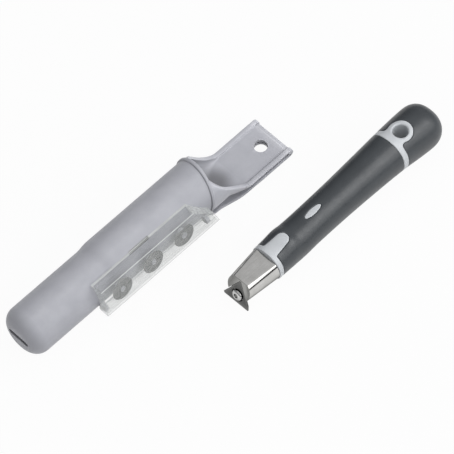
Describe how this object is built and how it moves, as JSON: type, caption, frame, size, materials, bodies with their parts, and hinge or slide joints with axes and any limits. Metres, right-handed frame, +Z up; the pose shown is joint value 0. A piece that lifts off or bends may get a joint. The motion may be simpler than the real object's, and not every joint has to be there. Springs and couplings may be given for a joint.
{
  "type": "paint scraper",
  "caption": "Pull scraper for paint with a clamped triangular blade and two-shot handle, lying beside its belt-clip holster with spare blades under a clear hinged cover.",
  "frame": {"origin": "middle of the common footprint of holster and scraper, on the surface they lie on", "axes": "+X from the blade and the holster's nose to the hanging ends, +Y from the scraper to the holster, +Z up"},
  "size_m": [0.2974, 0.097, 0.0429],
  "materials": {
    "core": "satin light grey",
    "grip": "matte dark grey soft grip",
    "head": "polished",
    "blade": "ground",
    "screw": "bright",
    "sleeve": "satin grey moulding",
    "clip": "satin grey moulding",
    "cover": "clear",
    "spare": "ground, dark"
  },
  "bodies": {
    "holster": {"holster_sleeve": "sleeve", "clip_frame": "clip", "spare_blade_pear": "spare", "spare_blade_round": "spare", "spare_blade_flat": "spare"},
    "cover": {"blade_cover": "cover"},
    "tongue": {"clip_tongue": "clip"},
    "scraper": {"handle_core": "core", "main_grip": "grip", "butt_grip": "grip", "blade_head": "head"},
    "blade": {"scraper_blade": "blade"},
    "screw": {"blade_screw": "screw"}
  },
  "joints": [
    {"name": "cover_swing", "type": "hinge", "parent": "holster", "child": "cover", "pos_m": [-0.04814, 0.01076, 0.01537], "axis": [0.9987, 0, 0.0506], "range_deg": [0, 100]},
    {"name": "clip_flex", "type": "hinge", "parent": "holster", "child": "tongue", "pos_m": [0.06874, 0.0297, 0.00487], "axis": [0, -1, 0], "range_deg": [0, 6], "stiffness_Nm_per_rad": 2},
    {"name": "scraper_lift", "type": "slide", "parent": "holster", "child": "scraper", "axis": [0, 0, 1], "range_m": [0, 0.08]},
    {"name": "blade_release", "type": "slide", "parent": "scraper", "child": "blade", "axis": [-0.974, -0.0231, 0.2254], "range_m": [0, 0.0021]},
    {"name": "screw_turn", "type": "hinge", "parent": "blade", "child": "screw", "pos_m": [-0.02591, -0.03701, 0.00589], "axis": [-0.974, -0.0231, 0.2254], "range_deg": [0, 1080]}
  ],
  "couplings": [
    {"joint": "screw_turn", "follows": "blade_release", "rad_per_m": 8975.9}
  ]
}
